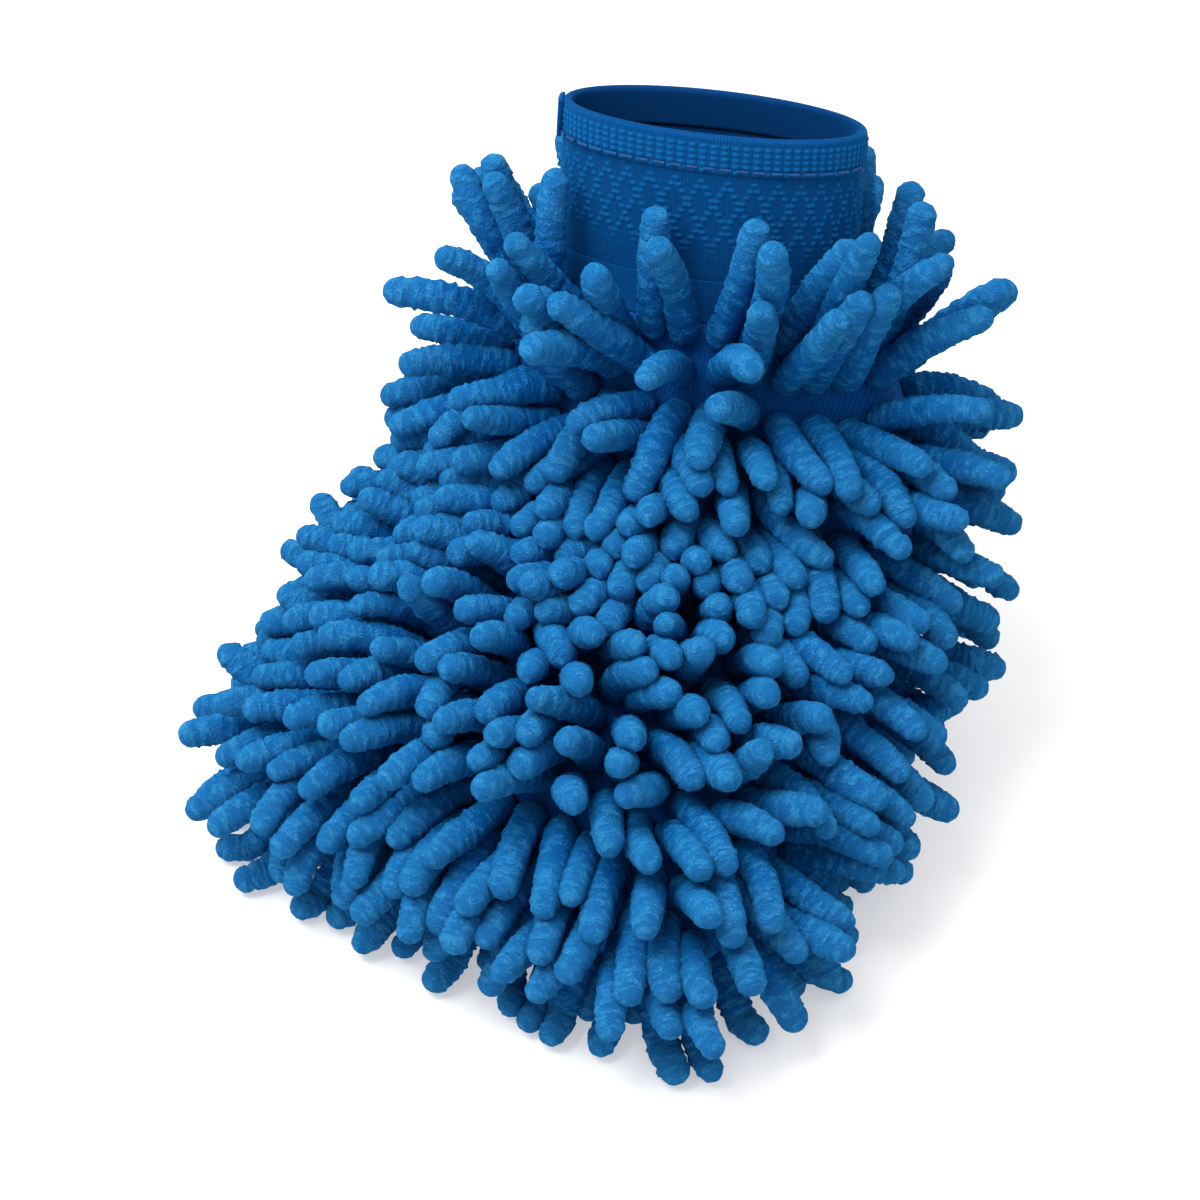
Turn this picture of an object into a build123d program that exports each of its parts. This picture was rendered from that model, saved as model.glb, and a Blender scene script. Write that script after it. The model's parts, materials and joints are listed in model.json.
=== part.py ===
"""Chenille wash mitt, standing on its front pile with the knitted cuff upright.

The mitt is a bag of two knitted panels, sewn together round the front and both sides,
with a lining inside it and a knitted cuff sewn to its mouth.  Rows of soft chenille
noodles cover both panels.  The bag lies along a bent spine: its closed front lies low,
and its wrist end rises and turns a little about the vertical.

Frame: +Z up, +X across the hand, +Y from the closed front end towards the wrist.  The
origin lies on the surface that the mitt stands on, under the middle of its outline.
"""

import os
from dataclasses import dataclass
from math import asin, cos, pi, radians, sin

import numpy as np
from build123d import *

os.makedirs("parts", exist_ok=True)

# ---------------------------------------------------------------- driving sizes (mm)

# The bag
hand_width = 148.0       # widest part of the bag, across the hand
bag_reach = 140.0        # closed front end to wrist, along the ground
bag_rise = 112.0         # spine height gained from the front end to the wrist
palm_depth = 37.0        # top of the bag above its spine, where it is fullest
heel_depth = 26.0        # bottom of the bag below its spine, where it is fullest
wrist_width = 96.0       # mouth of the bag, across the hand
wrist_depth = 38.0       # mouth of the bag, front to back
wrist_twist = 22.0       # turn of the wrist about the vertical against the front, degrees
wrist_shift = -7.0       # middle of the mouth, across the hand from the middle of the bag
front_height = 22.0      # spine of the front end above the ground
fullness = 0.85          # section shape: 1 is an ellipse, less is squarer

# Cloth
panel_wall = 1.6         # knitted base cloth of the pile
lining_wall = 1.0
lining_gap = 0.8         # between panel and lining
seam_allowance = 6.0     # turned-in edge of the panels
seam_thickness = 2.4     # both turned-in edges together

# Chenille noodles
noodle_radius = 3.2
noodle_length = 29.0     # root to the middle of the rounded tip
noodle_root_radius = 1.0
noodle_neck = 4.0        # length over which the root widens to the full radius
noodle_sink = 0.3        # depth of the root in the base cloth
noodle_gap = 0.25        # least room between two noodles
top_row_count = 18       # rows from the front to the wrist
bottom_row_count = 20
top_noodle_pitch = 8.8
bottom_noodle_pitch = 10.4
tip_flat = 0.4           # depth pressed flat where a tip rests on the ground

# Cuff
cuff_width = 86.0        # over the outside of the tube, at its foot
cuff_depth = 33.0
cuff_height = 55.0       # mouth of the bag to the rim
cuff_taper = 3.0         # width and depth lost from foot to rim
cuff_wall = 2.0
cuff_foot = 12.0         # height of the gathered foot, where the cuff folds
hem_height = 11.0
hem_wall = 3.4
elastic_wall = 1.0
elastic_height = 7.0
elastic_gap = 0.1

# Thread and seams
thread_radius = 0.45
stitch_length = 3.0
stitch_pitch = 4.6
mouth_seam_wall = 2.4
mouth_gap = 0.5          # between the lining and the turned-in mouth seam
side_seam_width = 5.0
side_seam_wall = 1.2
lap_length = 9.0         # end of the hem that laps over its start
lap_wall = 1.2
lap_gap = 0.05
stitch_rise = 1.6         # hem stitching above the hem's lower edge
mouth_seam_share = 0.16  # of the last stretch between stations


# ---------------------------------------------------------------- shape of the bag

@dataclass
class Station:
    """One cross-section of the bag; each size is a share of its driving size."""

    reach: float
    rise: float
    width: float
    top: float
    bottom: float
    pitch: float         # slope of the spine, degrees
    twist: float


wrist_share = wrist_width / hand_width
stations = [
    Station(0.00, 0.00, 0.890, 0.10, 0.15, 3, -0.10),
    Station(0.14, 0.03, 0.973, 0.64, 0.35, 6, -0.05),
    Station(0.38, 0.08, 1.000, 0.95, 0.50, 10, 0.05),
    Station(0.63, 0.17, 0.980, 1.00, 0.75, 25, 0.22),
    Station(0.83, 0.35, 0.915, 0.88, 1.00, 47, 0.45),
    Station(0.95, 0.66, 0.820, 0.73, 0.96, 70, 0.72),
    Station(1.00, 1.00, wrist_share, 0.5 * wrist_depth / palm_depth,
            0.5 * wrist_depth / heel_depth, 82, 0.80),
]
last_station = len(stations) - 1


def between(name, t):
    """A station value at t, where t counts the stations, on a smooth curve through them."""
    values = [getattr(s, name) for s in stations]
    k = min(int(t), last_station - 1)
    f = t - k
    here, there = values[k], values[k + 1]
    before = values[k - 1] if k > 0 else 2 * here - there
    after = values[k + 2] if k + 2 <= last_station else 2 * there - here
    rate_here = (there - before) / 2
    rate_there = (after - here) / 2
    return (here * (2 * f**3 - 3 * f**2 + 1) + rate_here * (f**3 - 2 * f**2 + f)
            + there * (3 * f**2 - 2 * f**3) + rate_there * (f**3 - f**2))


def axes_at(t):
    """Across, along and upward unit vectors of the bag at t."""
    slope = radians(between("pitch", t))
    turn = radians(wrist_twist * between("twist", t))
    across = np.array([cos(turn), sin(turn), 0.0])
    along = np.array([-sin(turn) * cos(slope), cos(turn) * cos(slope), sin(slope)])
    return across, along, np.cross(across, along)


plan_shift = np.zeros(3)     # set below, once the outline of the pile is known


def centre_at(t):
    """Point of the spine at t."""
    rise = between("rise", t)
    forward = bag_reach * (between("reach", t) - 0.5)
    return np.array([wrist_shift * rise**3, forward, front_height + bag_rise * rise]) + plan_shift


def half_sizes(t, inset=0.0):
    """Half width, height above and depth below the spine, all less the inset."""
    return (hand_width / 2 * between("width", t) - inset,
            palm_depth * between("top", t) - inset,
            heel_depth * between("bottom", t) - inset)


def oval(angle, half_width, half_height, power):
    """Point of a squared oval, in its own plane."""
    x = half_width * abs(cos(angle)) ** power
    y = half_height * abs(sin(angle)) ** power
    return (x if cos(angle) >= 0 else -x, y if sin(angle) >= 0 else -y)


def skin_point(t, angle):
    """Point of the bag's outer surface; the angle runs round the section from +X."""
    across, _, upward = axes_at(t)
    half_width, top, bottom = half_sizes(t)
    x, y = oval(angle, half_width, top if angle >= 0 else bottom, fullness)
    return centre_at(t) + x * across + y * upward


def skin_normal(t, angle):
    """Outward normal of the bag's outer surface."""
    step = 1e-3
    low, high = max(t - step, 0.0), min(t + step, last_station)
    along = skin_point(high, angle) - skin_point(low, angle)
    side = 1 if angle >= 0 else -1
    first = side * max(abs(angle) - step, step)
    second = side * min(abs(angle) + step, pi - step)
    round_it = skin_point(t, second) - skin_point(t, first)
    normal = np.cross(round_it, along)
    normal /= np.linalg.norm(normal)
    outward = skin_point(t, angle) - centre_at(t)
    return normal if normal @ outward > 0 else -normal


# ---------------------------------------------------------------- where the noodles stand

def run_along(points):
    """Length of a chain of points up to each of them."""
    steps = np.linalg.norm(np.diff(points, axis=0), axis=1)
    return np.concatenate([[0.0], np.cumsum(steps)])


def shares_at(run, wanted):
    """Shares of a chain, by number of points, at the wanted lengths along it."""
    return np.interp(wanted, run, np.linspace(0.0, 1.0, len(run)))


def first_way(t, angle, normal):
    """Direction that a noodle takes before its neighbours push it aside."""
    across, along, _ = axes_at(t)
    down = np.array([0.0, 0.0, -1.0])
    way = normal + 0.35 * down + 0.40 * cos(angle) * across
    way -= max(0.0, 1.3 - t) * 0.55 * along
    near_wrist = max(0.0, t - (last_station - 1.9)) / 1.9
    way += 2.1 * near_wrist**1.5 * along
    if angle < 0 and t < 4:
        way += 0.9 * (t / 4 - 0.35) * along
    way /= np.linalg.norm(way)
    return way


def stand_row(t, side, pitch, late):
    """Roots, normals and first directions of one row, across one side of the bag.

    Neighbouring rows are early and late in turn, so they stand half a pitch out of step.
    """
    run = run_along(np.array([skin_point(t, side * a) for a in np.linspace(0.0, pi, 200)]))
    room = run[-1] - 2 * seam_margin
    count = int(room / pitch + 0.5)
    step = room / (count - 0.5)
    wanted = seam_margin + (np.arange(count) + (0.5 if late else 0.0)) * step
    row = []
    for share in shares_at(run, wanted):
        angle = side * share * pi
        normal = skin_normal(t, angle)
        row.append((skin_point(t, angle), normal, first_way(t, angle, normal)))
    return row


def stand_pile(side, row_count, pitch):
    """All rows of one side of the bag, front to wrist."""
    stops = np.linspace(0.0, last_station, 300)
    run = run_along(np.array([skin_point(t, side * pi / 2) for t in stops]))
    places = shares_at(run, np.linspace(row_margin, run[-1] - row_margin, row_count))
    return [stand_row(share * last_station, side, pitch, bool(number % 2))
            for number, share in enumerate(places)]


def nearest_shares(start_a, run_a, start_b, run_b):
    """Shares along two sets of straight runs at which each pair comes closest."""
    between_starts = start_a - start_b
    aa = np.sum(run_a * run_a, 1)
    bb = np.sum(run_b * run_b, 1)
    ab = np.sum(run_a * run_b, 1)
    ad = np.sum(run_a * between_starts, 1)
    bd = np.sum(run_b * between_starts, 1)
    slack = np.maximum(aa * bb - ab * ab, 1e-9)
    share_a = np.clip((ab * bd - ad * bb) / slack, 0.0, 1.0)
    share_b = np.clip((ab * share_a + bd) / bb, 0.0, 1.0)
    share_a = np.clip((ab * share_b - ad) / aa, 0.0, 1.0)
    return share_a, share_b


def radius_at(share):
    """Radius of a noodle at a share of its length from the root."""
    return np.minimum(noodle_root_radius + (noodle_radius - noodle_root_radius)
                      * share * noodle_length / noodle_neck, noodle_radius)


def closest_gaps(roots, ways, first, second, start):
    """Shares, gap direction and room between the walls of each pair of noodles.

    start is the share of the length at which the walls that are compared begin.
    """
    runs = ways * noodle_length * (1 - start)
    feet = roots + ways * noodle_length * start
    share_a, share_b = nearest_shares(feet[first], runs[first], feet[second], runs[second])
    gap = (feet[first] + runs[first] * share_a[:, None]
           - feet[second] - runs[second] * share_b[:, None])
    share_a, share_b = (start + (1 - start) * share for share in (share_a, share_b))
    distance = np.maximum(np.linalg.norm(gap, axis=1), 1e-6)
    room = distance - radius_at(share_a) - radius_at(share_b)
    return share_a, share_b, gap / distance[:, None], room


def spread_apart(roots, normals, ways, rounds=300):
    """Turn the noodles until each pair has its gap and no tip is in the ground."""
    apart = np.linalg.norm(roots[:, None] - roots[None, :], axis=2)
    first, second = np.where(np.triu(apart < 2 * (noodle_length + noodle_radius), 1))
    lowest_tip = noodle_radius - tip_flat
    neck_share = noodle_neck / noodle_length
    for _ in range(rounds):
        tips = roots + ways * noodle_length
        for start in (0.0, neck_share):
            share_a, share_b, direction, room = closest_gaps(roots, ways, first, second, start)
            push = direction * (push_share * np.maximum(noodle_gap - room, 0.0))[:, None]
            np.add.at(tips, first, push * np.maximum(share_a, least_lever)[:, None])
            np.add.at(tips, second, -push * np.maximum(share_b, least_lever)[:, None])
        tips[:, 2] = np.maximum(tips[:, 2], lowest_tip)
        ways = tips - roots
        ways /= np.linalg.norm(ways, axis=1)[:, None]
        lift = np.sum(ways * normals, axis=1)
        low = lift < least_lift
        ways[low] += normals[low] * (least_lift - lift[low])[:, None]
        ways /= np.linalg.norm(ways, axis=1)[:, None]
    rooms = [closest_gaps(roots, ways, first, second, start)[3].min() for start in (0.0, neck_share)]
    print(f"{len(roots)} noodles, least room {min(rooms):.2f} mm")
    return ways


seam_margin = noodle_radius + noodle_gap
row_margin = 1.75 * noodle_radius
push_share = 0.35        # part of a missing gap that one round gives back
least_lever = 0.25       # a noodle touched at its root still turns a little
least_lift = 0.30        # least slope of a noodle off the cloth

top_rows = stand_pile(1, top_row_count, top_noodle_pitch)
bottom_rows = stand_pile(-1, bottom_row_count, bottom_noodle_pitch)
standing = [noodle for row in top_rows + bottom_rows for noodle in row]
roots = np.array([noodle[0] for noodle in standing])
normals = np.array([noodle[1] for noodle in standing])
ways = spread_apart(roots, normals, np.array([noodle[2] for noodle in standing]))

# The origin goes under the middle of the pile's outline.
tips = roots + ways * noodle_length
plan_shift[:2] = -(tips.min(axis=0) + tips.max(axis=0))[:2] / 2
roots = roots + plan_shift


# ---------------------------------------------------------------- helpers for the solids

def section_plane(t):
    """Plane of the bag's section at t: x across the hand, y up, origin on the spine."""
    across, along, _ = axes_at(t)
    return Plane(origin=tuple(centre_at(t)), x_dir=tuple(across), z_dir=tuple(-along))


def cuff_plane(height):
    """Plane across the cuff, a height above the mouth of the bag."""
    across, along, _ = axes_at(last_station)
    origin = centre_at(last_station) + along * height
    return Plane(origin=tuple(origin), x_dir=tuple(across), z_dir=tuple(along))


def half_outline(half_width, height, side, lift):
    """Points over one side of a section, from +X to -X, that clear the seam plane by lift."""
    start = asin((lift / height) ** (1 / fullness))
    angles = np.linspace(start, pi - start, 13)
    return [(x, side * y) for x, y in (oval(a, half_width, height, fullness) for a in angles)]


def make_shell(stops, side, inset, wall, lift):
    """Cloth over one side of the bag: a panel or a lining."""
    pick = 1 if side > 0 else 2
    with BuildPart() as shell:
        for stop in stops:
            outer_sizes = half_sizes(stop, inset)
            inner_sizes = half_sizes(stop, inset + wall)
            outer = half_outline(outer_sizes[0], outer_sizes[pick], side, lift)
            inner = half_outline(inner_sizes[0], inner_sizes[pick], side, lift)
            with BuildSketch(section_plane(stop)):
                with BuildLine():
                    Spline(*outer)
                    Line(outer[-1], inner[-1])
                    Spline(*reversed(inner))
                    Line(inner[0], outer[0])
                make_face()
        loft()
    return shell


def ring_outline(half_width, top, bottom, power):
    """Points round a squared oval."""
    points = []
    for k in range(ring_points):
        angle = 2 * pi * k / ring_points
        points.append(oval(angle, half_width, top if angle < pi else bottom, power))
    return points


def make_tube(planes, outer_rings, inner_rings):
    """Hollow oval tube through the planes, with its outline sizes at each of them.

    Each outline is two splines that meet at the sides.
    """
    half = ring_points // 2
    with BuildPart() as tube:
        for rings, mode in ((outer_rings, Mode.ADD), (inner_rings, Mode.SUBTRACT)):
            for plane, ring in zip(planes, rings):
                points = ring_outline(*ring)
                with BuildSketch(plane):
                    with BuildLine():
                        Spline(*points[:half + 1])
                        Spline(*points[half:], points[0])
                    make_face()
            loft(mode=mode)
    return tube


def cuff_ring(height, inset=0.0):
    """Outline sizes of the cuff at a height above the mouth, less an inset."""
    lost = cuff_taper * height / cuff_height
    half_depth = (cuff_depth - lost) / 2 - inset
    return (cuff_width - lost) / 2 - inset, half_depth, half_depth, cuff_fullness


def cuff_tube_between(low, high, outer_inset, inner_inset):
    """Straight piece of the cuff between two heights and two insets."""
    heights = (low, high)
    return make_tube([cuff_plane(h) for h in heights],
                     [cuff_ring(h, outer_inset) for h in heights],
                     [cuff_ring(h, inner_inset) for h in heights])


def make_stitches(planes):
    """One short length of thread along each plane's normal."""
    with BuildPart() as thread:
        for plane in planes:
            with BuildSketch(plane):
                Circle(thread_radius)
            extrude(amount=stitch_length)
    return thread


def stitch_planes(points):
    """Planes for the stitches along a chain of points: at each start, facing the end."""
    points = np.array(points)
    run = run_along(points)
    planes = []
    for k in range(int(run[-1] / stitch_pitch)):
        start, end = k * stitch_pitch, k * stitch_pitch + stitch_length
        here = np.array([np.interp(start, run, points[:, axis]) for axis in range(3)])
        there = np.array([np.interp(end, run, points[:, axis]) for axis in range(3)])
        planes.append(Plane(origin=tuple(here), z_dir=tuple(there - here)))
    return planes


def ring_chain(plane, half_width, top, bottom, power):
    """Closed chain of points in space round a squared oval."""
    chain = []
    for angle in np.linspace(0.0, 2 * pi, 181):
        x, y = oval(angle, half_width, top if angle < pi else bottom, power)
        chain.append(tuple(plane.from_local_coords((x, y, 0))))
    return chain


def finish(piece, name):
    """Label one sub-part and write it."""
    piece.part.label = name
    export_step(piece.part, f"parts/{name}.step")


# ---------------------------------------------------------------- stops and insets of the pieces

ring_points = 20         # an even number
cuff_fullness = 0.9
mouth_stops = (last_station - mouth_seam_share, last_station)
panel_stops = [*np.linspace(0.0, last_station, 2 * last_station + 1)[:-1], *mouth_stops]
lining_stops = panel_stops[1:]
lining_start = lining_stops[0]
lining_inset = panel_wall + lining_gap
inner_inset = lining_inset + lining_wall
sewn_overlap = 0.2       # depth that sewn pieces share
lining_lift = seam_thickness / 2 + elastic_gap

# ---------------------------------------------------------------- bag panels and lining

top_panel = make_shell(panel_stops, 1, 0.0, panel_wall, 0.0)
finish(top_panel, "top_panel")

bottom_panel = make_shell(panel_stops, -1, 0.0, panel_wall, 0.0)
finish(bottom_panel, "bottom_panel")

lining_top = make_shell(lining_stops, 1, lining_inset, lining_wall, lining_lift)
finish(lining_top, "lining_top")

lining_bottom = make_shell(lining_stops, -1, lining_inset, lining_wall, lining_lift)
finish(lining_bottom, "lining_bottom")

# The lining's front end is closed by a strip of the same cloth.
end_width, end_top, end_bottom = half_sizes(lining_start, inner_inset - sewn_overlap)
with BuildPart() as lining_end:
    upper = half_outline(end_width, end_top, 1, 0.0)
    lower = half_outline(end_width, end_bottom, -1, 0.0)
    with BuildSketch(section_plane(lining_start)):
        with BuildLine():
            Spline(*upper)
            Spline(*reversed(lower))
        make_face()
    extrude(amount=-lining_wall)
finish(lining_end, "lining_end")

# ---------------------------------------------------------------- turned-in seams of the bag

# Along the front the allowances of both panels fill the flat end of the bag.
front_width, front_top, front_bottom = half_sizes(0.0, panel_wall - sewn_overlap)
with BuildPart() as front_seam:
    upper = half_outline(front_width, front_top, 1, 0.0)
    lower = half_outline(front_width, front_bottom, -1, 0.0)
    with BuildSketch(section_plane(0.0)):
        with BuildLine():
            Spline(*upper)
            Spline(*reversed(lower))
        make_face()
    extrude(amount=-seam_allowance)
finish(front_seam, "front_seam")

for name, side in (("left_seam", -1), ("right_seam", 1)):
    with BuildPart() as side_seam:
        for stop in lining_stops:
            edge = half_sizes(stop, panel_wall - sewn_overlap)[0]
            middle = edge - (seam_allowance + sewn_overlap) / 2
            with BuildSketch(section_plane(stop)):
                with Locations((side * middle, 0)):
                    Rectangle(seam_allowance + sewn_overlap, seam_thickness)
        loft()
    finish(side_seam, name)

# A line of thread runs along the cut edge of each turned-in seam.
for name, side in (("left_stitching", -1), ("right_stitching", 1)):
    chain = []
    for stop in np.linspace(lining_start, last_station, 120)[2:-2]:
        edge = half_sizes(stop, panel_wall + seam_allowance)[0]
        chain.append(tuple(section_plane(stop).from_local_coords((side * edge, 0, 0))))
    finish(make_stitches(stitch_planes(chain)), name)

front_edge = section_plane(0.0).offset(-seam_allowance)
front_reach = front_width - 2 * seam_allowance
chain = [tuple(front_edge.from_local_coords((x, 0, 0)))
         for x in np.linspace(-front_reach, front_reach, 60)]
finish(make_stitches(stitch_planes(chain)), "front_stitching")

# The seam that joins the cuff to the bag is turned in round the mouth.
mouth_wall_inset = inner_inset + mouth_gap
mouth_seam = make_tube(
    [section_plane(t) for t in mouth_stops],
    [(*half_sizes(t, mouth_wall_inset), fullness) for t in mouth_stops],
    [(*half_sizes(t, mouth_wall_inset + mouth_seam_wall), fullness) for t in mouth_stops])
finish(mouth_seam, "mouth_seam")

seam_middle = last_station - mouth_seam_share / 2
chain = ring_chain(section_plane(seam_middle),
                   *half_sizes(seam_middle, mouth_wall_inset + mouth_seam_wall), fullness)
finish(make_stitches(stitch_planes(chain)), "mouth_stitching")

# ---------------------------------------------------------------- cuff

# The foot is gathered from the mouth of the bag to the tube; the cuff folds here.
mouth_width, mouth_half_depth, _ = half_sizes(last_station)
cuff_foot_piece = make_tube(
    [cuff_plane(0.0), cuff_plane(cuff_foot)],
    [(mouth_width, mouth_half_depth, mouth_half_depth, fullness), cuff_ring(cuff_foot)],
    [(*half_sizes(last_station, mouth_wall_inset + mouth_seam_wall), fullness),
     cuff_ring(cuff_foot, cuff_wall)])
finish(cuff_foot_piece, "cuff_foot")

hem_start = cuff_height - hem_height
hem_proud = (hem_wall - cuff_wall) / 2
finish(cuff_tube_between(cuff_foot, hem_start, 0.0, cuff_wall), "cuff_tube")

# The hem is the tube's top folded over an elastic band, open only along its lower edge.
middle_inset = cuff_wall / 2
slot_half = elastic_wall / 2 + elastic_gap
slot_top = hem_start + elastic_height + 2 * elastic_gap
slot = cuff_tube_between(hem_start, slot_top, middle_inset - slot_half, middle_inset + slot_half)
hem_shell = cuff_tube_between(hem_start, cuff_height, -hem_proud, cuff_wall + hem_proud)
with BuildPart() as cuff_hem:
    add(hem_shell.part)
    add(slot.part, mode=Mode.SUBTRACT)
finish(cuff_hem, "cuff_hem")

elastic_low = hem_start + elastic_gap
hem_elastic = cuff_tube_between(elastic_low, elastic_low + elastic_height,
                                middle_inset - elastic_wall / 2, middle_inset + elastic_wall / 2)
finish(hem_elastic, "hem_elastic")

chain = ring_chain(cuff_plane(hem_start + stitch_rise), *cuff_ring(hem_start + stitch_rise, -hem_proud))
finish(make_stitches(stitch_planes(chain)), "hem_stitching")

# The hem's end laps over its start at the left edge of the cuff.
with BuildPart() as hem_lap:
    for height in (hem_start + lap_gap, cuff_height - lap_gap):
        width, depth, _, power = cuff_ring(height, -hem_proud - lap_gap)
        spread = lap_length / width
        angles = np.linspace(pi - spread / 2, pi + spread, 9)
        inner = [oval(a, width, depth, power) for a in angles]
        outer = [oval(a, width + lap_wall, depth + lap_wall, power) for a in angles]
        with BuildSketch(cuff_plane(height)):
            with BuildLine():
                Spline(*outer)
                Line(outer[-1], inner[-1])
                Spline(*reversed(inner))
                Line(inner[0], outer[0])
            make_face()
    loft()
finish(hem_lap, "hem_lap")

# The tube is closed by a seam down its left edge, turned to the inside.
with BuildPart() as cuff_side_seam:
    for height in (cuff_foot, hem_start):
        edge = cuff_ring(height, cuff_wall - sewn_overlap)[0]
        middle = edge - (side_seam_wall + sewn_overlap) / 2
        with BuildSketch(cuff_plane(height)):
            with Locations((-middle, 0)):
                Rectangle(side_seam_wall + sewn_overlap, side_seam_width)
    loft()
finish(cuff_side_seam, "cuff_side_seam")

# ---------------------------------------------------------------- chenille noodles

with BuildPart() as noodle:
    with BuildSketch(Plane.XZ):
        with BuildLine():
            Polyline((0, -noodle_sink), (noodle_root_radius, -noodle_sink), (noodle_root_radius, 0),
                     (noodle_radius, noodle_neck), (noodle_radius, noodle_length))
            CenterArc((0, noodle_length), noodle_radius, 0, 90)
            Line((0, noodle_length + noodle_radius), (0, -noodle_sink))
        make_face()
    revolve(axis=Axis.Z)

with BuildPart() as ground:
    with BuildSketch(Plane.XY):
        Rectangle(4 * hand_width, 4 * bag_reach)
    extrude(amount=-2 * noodle_length)

number = 0
for side_name, rows in (("top", top_rows), ("bottom", bottom_rows)):
    for row_number, row in enumerate(rows, 1):
        picked = range(number, number + len(row))
        number += len(row)
        planes = [Plane(origin=tuple(roots[k]), z_dir=tuple(ways[k])) for k in picked]
        lowest = min(roots[k][2] + min(0.0, ways[k][2] * noodle_length) for k in picked)
        with BuildPart() as noodle_row:
            with Locations(*[plane.location for plane in planes]):
                add(noodle.part)
            if lowest < noodle_radius:
                add(ground.part, mode=Mode.SUBTRACT)
        finish(noodle_row, f"{side_name}_row_{row_number:02d}")
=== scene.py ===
"""Looks of the chenille wash mitt: its pile, cloth, knitted cuff, finishes, light and camera."""

import json
import logging
import math
from collections.abc import Callable, Sequence
from dataclasses import dataclass, field
from enum import Enum

import bmesh
import bpy
import numpy as np
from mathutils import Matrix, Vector


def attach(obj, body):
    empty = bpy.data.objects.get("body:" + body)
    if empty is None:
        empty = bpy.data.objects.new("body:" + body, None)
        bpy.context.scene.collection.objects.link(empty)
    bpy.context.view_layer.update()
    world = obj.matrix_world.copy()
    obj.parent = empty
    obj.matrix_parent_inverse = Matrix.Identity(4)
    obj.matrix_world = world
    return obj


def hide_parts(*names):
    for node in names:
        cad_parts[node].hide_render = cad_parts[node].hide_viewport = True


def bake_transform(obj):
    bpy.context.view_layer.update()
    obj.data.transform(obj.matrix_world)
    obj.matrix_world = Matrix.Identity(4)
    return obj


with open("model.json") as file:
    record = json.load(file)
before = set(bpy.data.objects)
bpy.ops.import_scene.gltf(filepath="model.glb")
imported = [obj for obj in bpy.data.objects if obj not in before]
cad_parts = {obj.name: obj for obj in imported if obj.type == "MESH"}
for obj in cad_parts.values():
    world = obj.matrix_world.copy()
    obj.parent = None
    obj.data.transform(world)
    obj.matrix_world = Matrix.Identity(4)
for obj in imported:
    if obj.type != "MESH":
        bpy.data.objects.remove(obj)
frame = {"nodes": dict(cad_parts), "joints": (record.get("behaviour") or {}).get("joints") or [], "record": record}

MM = 0.001
LOG = logging.getLogger("wash_mitt")
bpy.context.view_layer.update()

Colour = tuple[float, float, float, float]


class Slot(Enum):
    """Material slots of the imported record."""

    PILE = "chenille_pile"
    BASE = "base_cloth"
    LINING = "lining_cloth"
    CUFF = "cuff_knit"
    THREAD = "thread"
    ELASTIC = "elastic"


class Side(Enum):
    """The two faces of the bag that carry noodles."""

    TOP = "top"
    BOTTOM = "bottom"


@dataclass(frozen=True)
class Cut:
    """Flat size of a piece of cloth before it was sewn, in metres.

    The area is given where the cut isn't a rectangle.
    """

    width: float
    length: float
    area: float | None = None


# ---------------------------------------------------------------- shader graph


class Link:
    """A shader socket whose arithmetic adds Math nodes to its graph."""

    def __init__(self, graph: "Graph", socket: bpy.types.NodeSocket) -> None:
        """Wrap one output socket of the graph."""
        self.graph = graph
        self.socket = socket

    def math(self, operation: str, *others: "Link | float") -> "Link":
        """Return this value combined with others by one Math operation."""
        return self.graph.node("ShaderNodeMath", {"operation": operation}, (self, *others))

    def clamp(self) -> "Link":
        """Return this value held between 0 and 1."""
        return self.graph.node("ShaderNodeClamp", {}, (self,))

    def __add__(self, other: "Link | float") -> "Link":
        """Return the sum."""
        return self.math("ADD", other)

    def __sub__(self, other: "Link | float") -> "Link":
        """Return the difference."""
        return self.math("SUBTRACT", other)

    def __mul__(self, other: "Link | float") -> "Link":
        """Return the product."""
        return self.math("MULTIPLY", other)


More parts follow.
